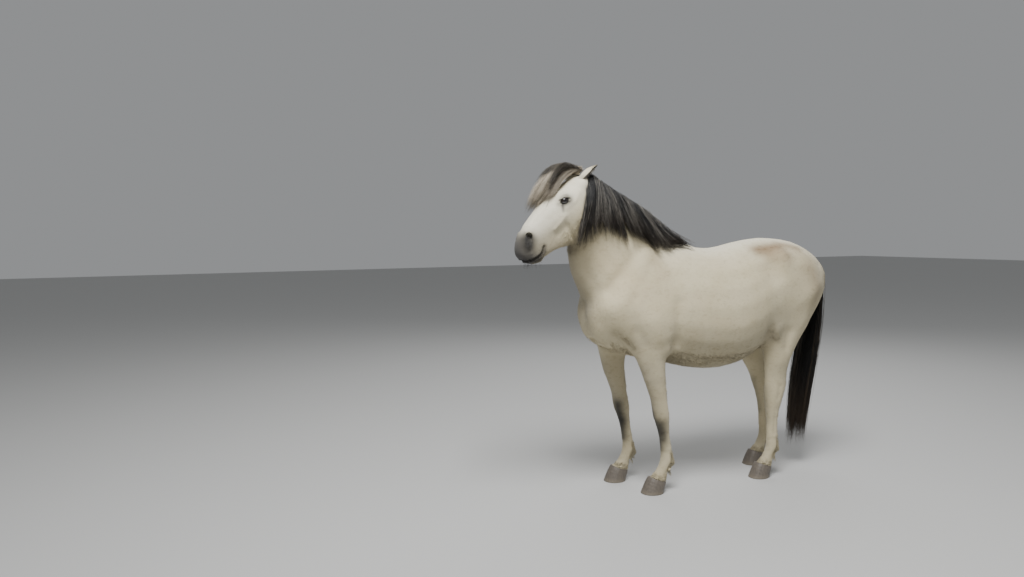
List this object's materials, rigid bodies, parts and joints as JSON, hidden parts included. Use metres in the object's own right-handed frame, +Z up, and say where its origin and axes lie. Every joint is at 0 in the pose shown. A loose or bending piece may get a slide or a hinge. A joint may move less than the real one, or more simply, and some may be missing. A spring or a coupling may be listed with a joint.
{
  "type": "icelandic horse",
  "caption": "Standing Icelandic horse, life size: pale coat, dark mane blown back, long dark tail, head raised and turned a little to its left, ears laid back.",
  "frame": {"origin": "on the floor, at the middle of the horse's length and width", "axes": "+Z up; the horse faces -X; its left side is -Y"},
  "size_m": [2.0568, 0.6416, 1.7902],
  "materials": {
    "coat": "short dense fur, pale cream",
    "eye": "wet and glossy",
    "hoof": "dull dark horn",
    "forelock": "coarse hair, beige with dark streaks",
    "mane": "coarse hair, charcoal with paler streaks",
    "tail": "coarse hair, black with brown ends"
  },
  "bodies": {
    "root": {"head": "coat", "neck": "coat", "torso": "coat", "foreleg_left": "coat", "foreleg_right": "coat", "hindleg_left": "coat", "hindleg_right": "coat", "ear_left": "coat", "ear_right": "coat", "eye_left": "eye", "eye_right": "eye", "hoof_fore_left": "hoof", "hoof_fore_right": "hoof", "hoof_hind_left": "hoof", "hoof_hind_right": "hoof", "forelock": "forelock", "mane_front": "mane", "mane_back": "mane", "tail": "tail"}
  },
  "joints": []
}
